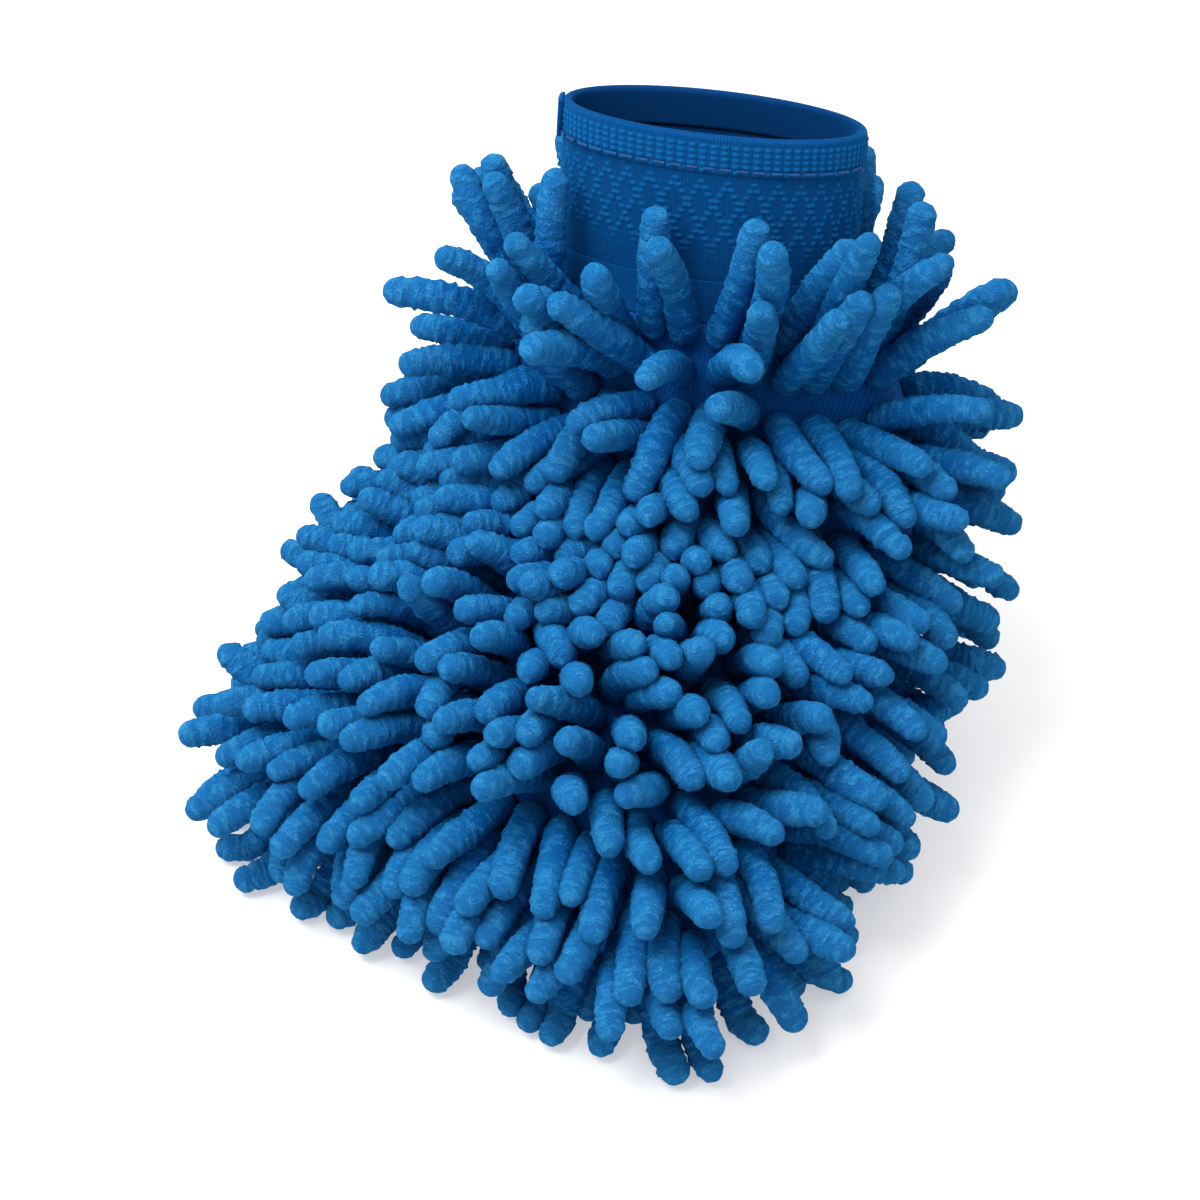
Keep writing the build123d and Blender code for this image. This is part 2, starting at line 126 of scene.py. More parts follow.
class Graph:
    """A material's node tree, built with one method for every node."""

    def __init__(self, name: str) -> None:
        """Start a material with only its output node.

        Args:
            name: The material's name.
        """
        self.material = bpy.data.materials.new(name)
        self.material.use_nodes = True
        self.tree = self.material.node_tree
        self.tree.nodes.clear()
        self.output = self.tree.nodes.new("ShaderNodeOutputMaterial")

    def node(self, kind: str, settings: dict[str, object] | None = None,
             inputs: "tuple[object, ...] | dict[str, object]" = (), out: int | str = 0) -> Link:
        """Add a node and return one of its outputs.

        Args:
            kind: The node's type name.
            settings: Properties that are set before the inputs.
            inputs: Values or links, in order or by socket name.
            out: The output that is returned.

        Returns:
            The wrapped output socket.
        """
        made = self.tree.nodes.new(kind)
        for key, value in (settings or {}).items():
            setattr(made, key, value)
        pairs = inputs.items() if isinstance(inputs, dict) else enumerate(inputs)
        for key, value in pairs:
            if isinstance(value, Link):
                self.tree.links.new(value.socket, made.inputs[key])
            elif value is not None:
                made.inputs[key].default_value = value
        return Link(self, made.outputs[out])

    def mix(self, share: "Link | float", first: "Link | Colour", second: "Link | Colour") -> Link:
        """Return a colour between two colours."""
        made = self.tree.nodes.new("ShaderNodeMix")
        made.data_type = "RGBA"
        sockets = (made.inputs[0], made.inputs[6], made.inputs[7])
        for socket, value in zip(sockets, (share, first, second)):
            if isinstance(value, Link):
                self.tree.links.new(value.socket, socket)
            else:
                socket.default_value = value
        return Link(self, made.outputs[2])

    def stretched(self, place: Link, factors: tuple[float, float, float]) -> Link:
        """Return a place whose axes are multiplied by the factors."""
        return self.node("ShaderNodeVectorMath", {"operation": "MULTIPLY"}, (place, factors))

    def noise(self, place: Link, scale: float, detail: float = 2.0, rough: float = 0.5) -> Link:
        """Return a noise value from 0 to 1 at a place."""
        return self.node("ShaderNodeTexNoise", {}, {
            "Vector": place, "Scale": scale, "Detail": detail, "Roughness": rough}, "Fac")

    def ramp(self, value: Link, low: float, high: float) -> Link:
        """Return a value stretched so that low becomes 0 and high becomes 1."""
        return self.node("ShaderNodeMapRange", {"interpolation_type": "SMOOTHSTEP"},
                         (value, low, high, 0.0, 1.0))

    def attribute(self, name: str, out: str) -> Link:
        """Return a mesh attribute's vector or number."""
        return self.node("ShaderNodeAttribute", {"attribute_name": name}, (), out)

    def bump(self, height: Link, distance: float, strength: float = 1.0) -> Link:
        """Return a normal raised by a height, for the shader's Normal socket."""
        return self.node("ShaderNodeBump", {}, {
            "Strength": strength, "Distance": distance, "Height": height})

    def finish(self, colour: "Link | Colour", roughness: float, normal: Link,
               fixed: dict[str, object]) -> bpy.types.Material:
        """Add the shader itself and return the material.

        Args:
            colour: Base colour over the surface.
            roughness: Roughness, the same all over.
            normal: Normal over the surface.
            fixed: Values that are the same all over, by socket name.

        Returns:
            The finished material.
        """
        shader = self.node("ShaderNodeBsdfPrincipled", {}, {
            "Base Color": colour, "Roughness": roughness, "Normal": normal, **fixed})
        self.tree.links.new(shader.socket, self.output.inputs["Surface"])
        return self.material


# ---------------------------------------------------------------- finishes


@dataclass(frozen=True)
class ChenilleFinish:
    """Looped microfibre stalks: matt, with bands of tufts across each stalk. Their colour holds painted shade
    towards the roots and in the dips between tufts, and painted highlights at the tips and on the tufts.
    """

    deep: Colour = (0.0006, 0.075, 0.300, 1.0)
    body: Colour = (0.0016, 0.104, 0.450, 1.0)
    # light is the colour of the painted highlight at the tips and on the tufts
    light: Colour = (0.0560, 0.370, 0.700, 1.0)
    band_scale: float = 0.66
    band_stretch: float = 0.35       # bands run on across a stalk
    tuft_scale: float = 1.9
    relief: float = 1.5
    start_shade: float = 0.28
    # painted shade: the stalks are darker towards their roots, where they shade each other
    root_painted_shade: float = 0.40
    tone_shade: float = 0.30         # one stalk against the next
    # painted shade in the dips between the tufts
    crevice_painted_shade: float = 0.80
    # painted highlights at the tips and on the raised tufts
    tip_painted_highlight: float = 0.30
    tuft_painted_highlight: float = 0.50

    def make(self) -> bpy.types.Material:
        """Return the material, drawn in each stalk's own coordinates in millimetres."""
        graph = Graph("chenille")
        strand = graph.attribute("strand", "Vector")
        reach = graph.attribute("reach", "Fac")
        tone = graph.attribute("tone", "Fac")
        across_bands = graph.stretched(strand, (self.band_stretch, self.band_stretch, 1.0))
        bands = graph.ramp(graph.noise(across_bands, self.band_scale, 2.0), 0.33, 0.67)
        tufts = graph.ramp(graph.noise(strand, self.tuft_scale, 3.0, 0.65), 0.30, 0.70)
        height = bands * 0.55 + tufts * 0.45
        # Painted shade: darker towards each stalk's root; the tone term is each stalk's own random tone.
        shade = graph.ramp(reach, 0.0, 0.9) * self.root_painted_shade + (tone - 0.5) * self.tone_shade
        # Painted shade: darker in the dips between the tufts.
        shade = (shade + (height - 0.5) * self.crevice_painted_shade + self.start_shade).clamp()
        colour = graph.mix(shade, self.deep, self.body)
        # Painted highlight: lighter towards the tips and on the raised tufts.
        painted_highlight = graph.ramp(reach, 0.35, 1.0) * self.tip_painted_highlight
        painted_highlight = (painted_highlight + graph.ramp(height, 0.40, 1.0) * self.tuft_painted_highlight - 0.05).clamp()
        colour = graph.mix(painted_highlight, colour, self.light)
        normal = graph.bump(height, self.relief * MM, 1.0)
        return graph.finish(colour, 0.92, normal, {
            "Sheen Weight": 0.35, "Sheen Roughness": 0.45,
            "Sheen Tint": (0.02, 0.45, 0.90, 1.0), "Specular IOR Level": 0.03})


@dataclass(frozen=True)
class KnitFinish:
    """Fine smooth knit, seen as rows of small loops. Its colour holds painted shade in the dips between loops and
    on the cuff's inner wall, and a painted highlight on raised dashes and ribs.
    """

    name: str
    deep: Colour
    body: Colour
    # light is the colour of the painted highlight on raised dashes and ribs
    light: Colour = (0.0030, 0.150, 0.400, 1.0)
    loop_width: float = 0.9
    loop_height: float = 0.7
    relief: float = 0.25
    sheen: float = 0.35
    # painted highlight on the raised dashes and ribs
    raised_painted_highlight: float = 0.45
    # painted shade on the cuff's inner wall
    inner_painted_shade: float = 0.85

    def make(self) -> bpy.types.Material:
        """Return the material, drawn in the piece's own cloth coordinates in millimetres."""
        graph = Graph(self.name)
        cloth = graph.attribute("cloth", "Vector")
        across = graph.node("ShaderNodeSeparateXYZ", {}, (cloth,), "X")
        along = Link(graph, across.socket.node.outputs["Y"])
        wale = (across * (2 * math.pi / self.loop_width)).math("COSINE")
        course = (along * (2 * math.pi / self.loop_height)).math("COSINE")
        loops = (wale * 0.5 + 0.5) * 0.6 + (course * 0.5 + 0.5) * 0.4
        fuzz = graph.noise(cloth, 0.9, 3.0, 0.6)
        raised = graph.attribute("raised", "Fac")
        height = loops * 0.7 + fuzz * 0.3
        # Painted shade: darker in the dips between the loops, together with the fuzz's own mottle.
        colour = graph.mix((height * 0.9 + (fuzz - 0.5) * 0.6).clamp(), self.deep, self.body)
        # Painted highlight on the raised dashes and ribs.
        colour = graph.mix((raised * self.raised_painted_highlight).clamp(), colour, self.light)
        # Painted shade: the cuff's inner wall is mixed towards the deep colour.
        colour = graph.mix(graph.attribute("inner", "Fac") * self.inner_painted_shade, colour, self.deep)
        normal = graph.bump(height, self.relief * MM, 0.8)
        return graph.finish(colour, 0.85, normal, {
            "Sheen Weight": self.sheen, "Sheen Roughness": 0.5,
            "Sheen Tint": (0.02, 0.35, 0.8, 1.0), "Specular IOR Level": 0.05})


@dataclass(frozen=True)
class ThreadFinish:
    """Spun thread or covered elastic: plain colour with fine twist lines."""

    name: str
    dark: Colour
    light: Colour
    twist_scale: float = 900.0

    def make(self) -> bpy.types.Material:
        """Return the material, drawn on object coordinates."""
        graph = Graph(self.name)
        place = graph.node("ShaderNodeTexCoord", {}, (), "Object")
        twist = graph.noise(place, self.twist_scale, 2.0)
        colour = graph.mix(twist, self.dark, self.light)
        normal = graph.bump(twist, 0.1 * MM, 0.6)
        return graph.finish(colour, 0.7, normal, {"Specular IOR Level": 0.3})


@dataclass(frozen=True)
class FloorFinish:
    """Plain pale studio floor."""

    colour: Colour = (0.62, 0.62, 0.62, 1.0)
    glow: float = 0.42       # light of a backlit sweep, which thins the shadow on it

    def make(self) -> bpy.types.Material:
        """Return the material."""
        graph = Graph("studio_floor")
        place = graph.node("ShaderNodeTexCoord", {}, (), "Object")
        grain = graph.bump(graph.noise(place, 40.0, 1.0), 0.01 * MM, 0.1)
        return graph.finish(self.colour, 0.9, grain, {
            "Emission Color": (1.0, 1.0, 1.0, 1.0), "Emission Strength": self.glow})


# ---------------------------------------------------------------- mesh helpers


def cad_points(name: str) -> np.ndarray:
    """Return a CAD node's vertices in metres, one row each."""
    mesh = frame["nodes"][name].data
    points = np.zeros(len(mesh.vertices) * 3)
    mesh.vertices.foreach_get("co", points)
    return points.reshape(-1, 3)


def link_mesh(name: str, mesh: bpy.types.Mesh, material: bpy.types.Material) -> bpy.types.Object:
    """Make an object of a mesh, dress it and put it in the scene.

    Args:
        name: The piece's name.
        mesh: Its mesh, in the frame's coordinates.
        material: Its finish.

    Returns:
        The new object, at the origin.
    """
    mesh.materials.append(material)
    piece = bpy.data.objects.new(name, mesh)
    bpy.context.scene.collection.objects.link(piece)
    return piece


def set_points(mesh: bpy.types.Mesh, points: np.ndarray) -> None:
    """Move a mesh's vertices to the given points."""
    mesh.vertices.foreach_set("co", points.astype(np.float32).ravel())
    mesh.update()


def add_attribute(mesh: bpy.types.Mesh, name: str, values: np.ndarray) -> None:
    """Store one number or one vector for each vertex."""
    vector = values.ndim == 2
    layer = mesh.attributes.new(name, "FLOAT_VECTOR" if vector else "FLOAT", "POINT")
    layer.data.foreach_set("vector" if vector else "value", values.astype(np.float32).ravel())


def unit(rows: np.ndarray) -> np.ndarray:
    """Return rows of vectors at length 1."""
    return rows / np.maximum(np.linalg.norm(rows, axis=-1, keepdims=True), 1e-12)


FOLD = frame["joints"][0]
BENDING = {entry["node"] for entry in FOLD["deforming_nodes"]}
ALONG = Vector(next(m for m in frame["record"]["mounts"] if m["name"] == "hand_opening")["axis"])
ACROSS = Vector(FOLD["axis"])
BACKWARD = ALONG.cross(ACROSS)
CUFF_WIDTH, CUFF_DEPTH = 86.0, 33.0


def cuff_places(name: str) -> np.ndarray:
    """Return a CAD node's vertices in the cuff's own millimetres: across, along and back."""
    axes = np.stack([np.array(ACROSS), np.array(ALONG), np.array(BACKWARD)])
    return (cad_points(name) - np.array(FOLD["pos_m"])) @ axes.T / MM


# ---------------------------------------------------------------- the pile of noodles


@dataclass(frozen=True)
class Stalk:
    """Sizes of one chenille noodle, in millimetres, and the counts of its mesh."""

    length: float = 29.0
    radius: float = 4.5
    tip_share: float = 0.88
    root_radius: float = 2.3
    neck: float = 4.0
    links: int = 7
    sides: int = 14
    rings: int = 42
    tip_rings: int = 5


@dataclass
class Pile:
    """Every noodle of the mitt: where it stands, how it hangs, and its mesh."""

    stalk: Stalk = field(default_factory=Stalk)
    seed: int = 11
    droop: float = 0.22
    spring: float = 0.26
    root_hold: float = 0.60
    room: float = 7.9
    floor_room: float = 4.8
    rounds: int = 200
    crown_depth: float = 25.5        # the crown stands up round the cuff above this
    crown_edge: float = 1.6          # scatter of the crown's lower edge
    crown_length: float = 1.28       # against the other noodles
    crown_weight: float = 0.35
    apron_depth: float = 62.0        # below the crown and above this, noodles fall forward
    length_mean: float = 1.04
    length_scatter: float = 0.06
    length_limits: tuple[float, float] = (0.9, 1.16)
    lean: float = 0.15               # scatter of the way a noodle leaves the cloth
    curl: float = 0.05
    look_again: int = 12             # rounds between two searches for neighbours
    look_margin: float = 4.0
    push_share: float = 0.25
    cuff_room: float = 4.6
    cuff_low: float = -4.0           # from here up the cuff keeps noodles out
    lift_step: float = 1.3           # height off the cloth gained by each link
    lift_limit: float = 3.6

    def __post_init__(self) -> None:
        """Read every row of noodles from the frame."""
        self.random = np.random.default_rng(self.seed)
        self.rows: list[tuple[str, int]] = []
        roots: list[np.ndarray] = []
        ways: list[np.ndarray] = []
        for side in Side:
            names = sorted(n for n in frame["nodes"] if n.startswith(side.value + "_row"))
            for name in names:
                row_roots, row_ways = self.read_row(name)
                self.rows.append((name, len(row_roots)))
                roots.append(row_roots)
                ways.append(row_ways)
        self.roots = np.concatenate(roots)
        self.ways = np.concatenate(ways)
        edge = self.crown_depth + self.random.normal(0.0, self.crown_edge, len(self.roots))
        self.crown = self.depth() < edge
        LOG.info("read %d noodles in %d rows", len(self.roots), len(self.rows))

    def read_row(self, name: str) -> tuple[np.ndarray, np.ndarray]:
        """Find each noodle of a row.

        Args:
            name: The row's CAD node.

        Returns:
            Root centres in millimetres and unit directions, one row for each noodle.
        """
        points = cad_points(name) / MM
        mesh = frame["nodes"][name].data
        corners = np.zeros(len(mesh.loops), int)
        mesh.loops.foreach_get("vertex_index", corners)
        _, shared = np.unique(np.round(points, 3), axis=0, return_inverse=True)
        shared = shared.ravel()
        triangles = shared[corners.reshape(-1, 3)]
        label = np.arange(shared.max() + 1)
        while True:
            lowest = label[triangles].min(axis=1)
            following = label.copy()
            np.minimum.at(following, triangles.ravel(), np.repeat(lowest, 3))
            following = following[following]
            if (following == label).all():
                break
            label = following
        owner = label[shared]
        roots, ways = [], []
        for one in np.unique(owner):
            root, way = self.axis_of(np.unique(np.round(points[owner == one], 3), axis=0))
            roots.append(root)
            ways.append(way)
        return np.array(roots), np.array(ways)

    def axis_of(self, points: np.ndarray) -> tuple[np.ndarray, np.ndarray]:
        """Return a noodle's root centre and unit direction from its vertices."""
        middle = points.mean(axis=0)
        way = np.linalg.svd(points - middle, full_matrices=False)[2][0]
        run = (points - middle) @ way
        ends = [np.sum(run < run.min() + 0.08), np.sum(run > run.max() - 0.08)]
        if ends[1] > ends[0]:
            way, run = -way, -run
        root = points[run < run.min() + 0.08].mean(axis=0)
        run = (points - root) @ way
        neck = points[(run > self.stalk.neck - 0.3) & (run < self.stalk.neck + 0.9)]
        if len(neck) > 4:
            way = unit(neck.mean(axis=0) - root)
        return root, way

    def settle(self) -> None:
        """Let the noodles hang and lean on each other, as soft stalks with springy roots."""
        stalk = self.stalk
        count = len(self.roots)
        crown = self.crown
        scatter = self.random.normal(self.length_mean, self.length_scatter, count)
        lengths = stalk.length * scatter.clip(*self.length_limits)
        lengths = lengths * np.where(crown, self.crown_length, 1.0)
        weight = np.where(crown, self.crown_weight, 1.0)[:, None]
        step = (lengths / (stalk.links - 1))[:, None]
        jitter = unit(self.combed() + self.random.normal(0.0, self.lean, (count, 3)))
        curl = self.random.normal(0.0, self.curl, (count, 3))
        share = np.linspace(0.0, 1.0, stalk.links)
        chain = self.roots[:, None] + (share[:, None] * lengths[:, None, None]) * jitter[:, None]
        reach = np.linalg.norm(self.roots[:, None] - self.roots[None], axis=2)
        first, second = np.where(np.triu(reach < 2 * stalk.length + self.room, 1))
        for turn in range(self.rounds):
            chain[:, 1:, 2] -= self.droop * weight * share[1:]
            for k in range(1, stalk.links):
                if k == 1:
                    goal, hold = self.roots + jitter * step, self.root_hold
                else:
                    ahead = unit(chain[:, k - 1] - chain[:, k - 2]) + curl
                    goal, hold = chain[:, k - 1] + unit(ahead) * step, self.spring
                chain[:, k] += hold * (goal - chain[:, k])
            if turn % self.look_again == 0:
                pairs = self.near_links(chain, first, second)
            self.push_apart(chain, pairs)
            self.keep_clear(chain)
            chain[:, 1:, 2] = np.maximum(chain[:, 1:, 2], self.floor_room)
            for k in range(1, stalk.links):
                chain[:, k] = chain[:, k - 1] + unit(chain[:, k] - chain[:, k - 1]) * step
        self.chain = chain
        self.lengths = lengths
        LOG.info("settled %d noodles", count)

    def combed(self) -> np.ndarray:
        """Return the way each noodle leaves the cloth: up in the crown, down below it."""
        upward = np.array(ALONG)
        below = self.depth()
        crown = self.crown[:, None]
        side = self.roots - np.array(FOLD["pos_m"]) / MM
        outward = unit(side - (side @ upward)[:, None] * upward)
        splay = self.random.uniform(0.0, 0.6, (len(self.roots), 1))
        splay = splay + 0.65 * (below / self.crown_depth)[:, None] ** 2
        raised = unit(splay * outward + 0.9 * upward)
        share = np.clip((self.apron_depth - below) / (self.apron_depth - self.crown_depth), 0.0, 1.0)
        fall = share * self.random.uniform(0.3, 1.2, len(self.roots))
        lowered = unit(self.ways - fall[:, None] * np.array([0.0, 0.0, 1.0]))
        return np.where(crown, raised, lowered)

    def depth(self) -> np.ndarray:
        """Return how far each noodle's root lies below the cuff's fold, in millimetres."""
        return -(self.roots - np.array(FOLD["pos_m"]) / MM) @ np.array(ALONG)

    def keep_clear(self, chain: np.ndarray) -> None:
        """Keep the noodles out of the cuff and in front of the cloth they grow from."""
        pivot = np.array(FOLD["pos_m"]) / MM
        axes = np.stack([np.array(ACROSS), np.array(ALONG), np.array(BACKWARD)])
        local = (chain - pivot) @ axes.T
        wide, deep = CUFF_WIDTH / 2 + self.cuff_room, CUFF_DEPTH / 2 + self.cuff_room
        size = np.sqrt((local[..., 0] / wide) ** 2 + (local[..., 2] / deep) ** 2)
        inside = (local[..., 1] > self.cuff_low) & (size < 1.0)
        inside[:, 0] = False
        grow = np.where(inside, 1.0 / np.maximum(size, 0.2), 1.0)
        local[..., 0] *= grow
        local[..., 2] *= grow
        chain[...] = local @ axes + pivot
        lift = np.einsum("ijk,ik->ij", chain - self.roots[:, None], self.ways)
        least = np.minimum(np.arange(chain.shape[1]) * self.lift_step, self.lift_limit)
        chain += np.maximum(least - lift, 0.0)[..., None] * self.ways[:, None]

    def near_links(self, chain: np.ndarray, first: np.ndarray, second: np.ndarray) -> np.ndarray:
        """Return index pairs of chain points of different noodles that may soon touch."""
        links = self.stalk.links
        found = []
        for a in range(1, links):
            for b in range(1, links):
                gap = chain[first, a] - chain[second, b]
                near = np.einsum("ij,ij->i", gap, gap) < (self.room + self.look_margin) ** 2
                found.append(np.stack([first[near] * links + a, second[near] * links + b]))
        return np.concatenate(found, axis=1)

    def push_apart(self, chain: np.ndarray, pairs: np.ndarray) -> None:
        """Move chain points that are nearer than their room away from each other."""
        flat = chain.reshape(-1, 3)
        gap = flat[pairs[0]] - flat[pairs[1]]
        distance = np.maximum(np.linalg.norm(gap, axis=1), 1e-6)
        short = np.maximum(self.room - distance, 0.0)
        push = gap / distance[:, None] * (self.push_share * short)[:, None]
        np.add.at(flat, pairs[0], push)
        np.add.at(flat, pairs[1], -push)

    def template(self) -> tuple[bpy.types.Mesh, np.ndarray, np.ndarray]:
        """Make one noodle's mesh from a sphere's rings.

        Returns:
            The mesh, and each vertex's ring and side number.
        """
        stalk = self.stalk
        shape = bmesh.new()
        bmesh.ops.create_uvsphere(shape, u_segments=stalk.sides, v_segments=stalk.rings + 1, radius=1.0)
        layer = shape.loops.layers.uv.new("OFBake")
        mesh = bpy.data.meshes.new("noodle_shape")
        shape.verts.ensure_lookup_table()
        points = np.array([v.co[:] for v in shape.verts])
        polar = np.arccos(np.clip(-points[:, 2], -1.0, 1.0))
        ring = np.round(polar / math.pi * (stalk.rings + 1)).astype(int)
        turn = np.arctan2(points[:, 1], points[:, 0])
        side = np.round(turn / (2 * math.pi) * stalk.sides).astype(int)
        side %= stalk.sides
        poles = (ring == 0) | (ring == stalk.rings + 1)
        for face in shape.faces:
            numbers = [side[loop.vert.index] for loop in face.loops if not poles[loop.vert.index]]
            wraps = max(numbers) - min(numbers) > stalk.sides / 2
            numbers = [n + stalk.sides if wraps and n < stalk.sides / 2 else n for n in numbers]
            middle = sum(numbers) / len(numbers)
            for loop in face.loops:
                index = loop.vert.index
                place = side[index]
                if poles[index]:
                    place = middle
                elif wraps and place < stalk.sides / 2:
                    place += stalk.sides
                loop[layer].uv = (place / stalk.sides, ring[index] / (stalk.rings + 1))
            face.smooth = True
        shape.to_mesh(mesh)
        shape.free()
        return mesh, ring, side

    def ring_places(self) -> tuple[np.ndarray, np.ndarray]:
        """Return how far along a noodle each ring lies, as a share of its length, and its radius."""
        stalk = self.stalk
        body_count = stalk.rings + 2 - stalk.tip_rings
        body = np.linspace(0.0, 1.0, body_count)
        turn = np.linspace(0.0, math.pi / 2, stalk.tip_rings + 1)[1:]
        tip_radius = stalk.radius * stalk.tip_share
        along = np.concatenate([body * stalk.length, stalk.length + 1.1 * tip_radius * np.sin(turn)])
        rise = np.clip(body * stalk.length / stalk.neck, 0.0, 1.0)
        girth = stalk.root_radius + (stalk.radius - stalk.root_radius) * np.sin(rise * math.pi / 2)
        girth *= 1.0 - (1.0 - stalk.tip_share) * np.clip((body - 0.65) / 0.35, 0.0, 1.0) ** 1.6
        girth[0] = 0.0
        return along, np.concatenate([girth, tip_radius * np.cos(turn)])

    def swept(self) -> tuple[np.ndarray, np.ndarray, np.ndarray]:
        """Sweep the rings along every noodle's chain.

        Returns:
            Points (noodle, ring, side), places in the stalk's own straight space, and reach.
        """
        stalk = self.stalk
        count = len(self.roots)
        along, girth = self.ring_places()
        share = np.minimum(along / stalk.length, 1.0)
        past = np.maximum(along - stalk.length, 0.0)
        centre = self.smooth_chain(share)
        tangent = unit(np.gradient(centre[:, :stalk.rings + 2 - stalk.tip_rings], axis=1))
        last = tangent[:, -1:]
        straight_on = np.repeat(last, len(along) - tangent.shape[1], axis=1)
        tangent = np.concatenate([tangent, straight_on], axis=1)
        centre = centre + past[None, :, None] * last
        helper = np.where(np.abs(tangent[:, 0, 2:3]) < 0.8, [[0.0, 0.0, 1.0]], [[1.0, 0.0, 0.0]])
        across = np.zeros_like(centre)
        current = unit(np.cross(tangent[:, 0], helper))
        for k in range(len(along)):
            leaning = np.sum(current * tangent[:, k], axis=1, keepdims=True)
            current = unit(current - leaning * tangent[:, k])
            across[:, k] = current
        upward = np.cross(tangent, across)
        angle = np.arange(stalk.sides) * 2 * math.pi / stalk.sides
        wide = self.lumps(count, len(along)) * girth[None, :, None]
        points = (centre[:, :, None] + across[:, :, None] * (wide * np.cos(angle))[..., None]
                  + upward[:, :, None] * (wide * np.sin(angle))[..., None])
        straight = np.stack([np.broadcast_to(girth[None, :, None] * np.cos(angle), wide.shape),
                             np.broadcast_to(girth[None, :, None] * np.sin(angle), wide.shape),
                             np.broadcast_to(along[None, :, None], wide.shape)], axis=-1)
        return points, straight, share

    def smooth_chain(self, share: np.ndarray) -> np.ndarray:
        """Return points on a smooth curve through every noodle's chain, at shares of its length."""
        links = self.stalk.links
        padded = np.concatenate([2 * self.chain[:, :1] - self.chain[:, 1:2], self.chain,
                                 2 * self.chain[:, -1:] - self.chain[:, -2:-1]], axis=1)
        place = share * (links - 1)
        k = np.minimum(place.astype(int), links - 2)
        f = (place - k)[None, :, None]
        before, here, there, after = (padded[:, k + n] for n in range(4))
        return 0.5 * (2 * here + (there - before) * f + (2 * before - 5 * here + 4 * there - after) * f**2
                      + (3 * here - before - 3 * there + after) * f**3)

    def lumps(self, count: int, rings: int) -> np.ndarray:
        """Return the uneven girth of the tufts, about 1, for each noodle, ring and side."""
        stalk = self.stalk
        size = self.random.normal(1.0, 0.04, (count, 1, 1))
        band = self.random.normal(0.0, 0.030, (count, rings, 1))
        tuft = self.random.normal(0.0, 0.045, (count, rings, stalk.sides))
        start = self.random.uniform(0, 6.3, (count, 1, 1))
        slow = np.sin(np.linspace(0.0, 7.0, rings)[None, :, None] + start)
        return size * (1.0 + band + tuft + 0.03 * slow)

    def build(self, finish: bpy.types.Material) -> None:
        """Make one piece for each row of noodles and tie it to the frame."""
        self.settle()
        stalk = self.stalk
        mesh, ring, side = self.template()
        points, straight, share = self.swept()
        offset = self.random.uniform(0.0, 400.0, (len(self.roots), 1, 3))
        tone = self.random.uniform(0.0, 1.0, len(self.roots))
        template_uv = np.zeros(len(mesh.loops) * 2)
        mesh.uv_layers["OFBake"].data.foreach_get("uv", template_uv)
        template_uv = template_uv.reshape(-1, 2)
        start = 0
        for name, count in self.rows:
            picked = slice(start, start + count)
            start += count
            shape = bmesh.new()
            for _ in range(count):
                shape.from_mesh(mesh)
            row_mesh = bpy.data.meshes.new(name + "_pile")
            shape.to_mesh(row_mesh)
            shape.free()
            row_points = points[picked][:, ring, side].reshape(-1, 3) * MM
            set_points(row_mesh, row_points)
            strand = straight[picked][:, ring, side] + offset[picked]
            add_attribute(row_mesh, "strand", strand.reshape(-1, 3))
            add_attribute(row_mesh, "reach", np.tile(share[ring], count))
            add_attribute(row_mesh, "tone", np.repeat(tone[picked], len(ring)))
            self.pack_uv(row_mesh, template_uv, count)
            piece = link_mesh(name + "_pile", row_mesh, finish)
            if name in BENDING:
                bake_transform(piece)
            else:
                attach(piece, "mitt")
            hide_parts(name)
        LOG.info("made %d rows, %d triangles each noodle", len(self.rows),
                 2 * stalk.sides * stalk.rings)

    def pack_uv(self, mesh: bpy.types.Mesh, template_uv: np.ndarray, count: int) -> None:
        """Lay the noodles' skins side by side on the row's own UV map."""
        margin = 0.06
        column = np.repeat(np.arange(count), len(template_uv))[:, None]
        local = np.tile(template_uv, (count, 1))
        across = (column[:, 0] + margin + local[:, 0] * (1 - 2 * margin)) / count
        values = np.stack([across, 0.01 + 0.98 * local[:, 1]], axis=1)
        mesh.uv_layers["OFBake"].data.foreach_set("uv", values.ravel())


# ---------------------------------------------------------------- the bag's cloth


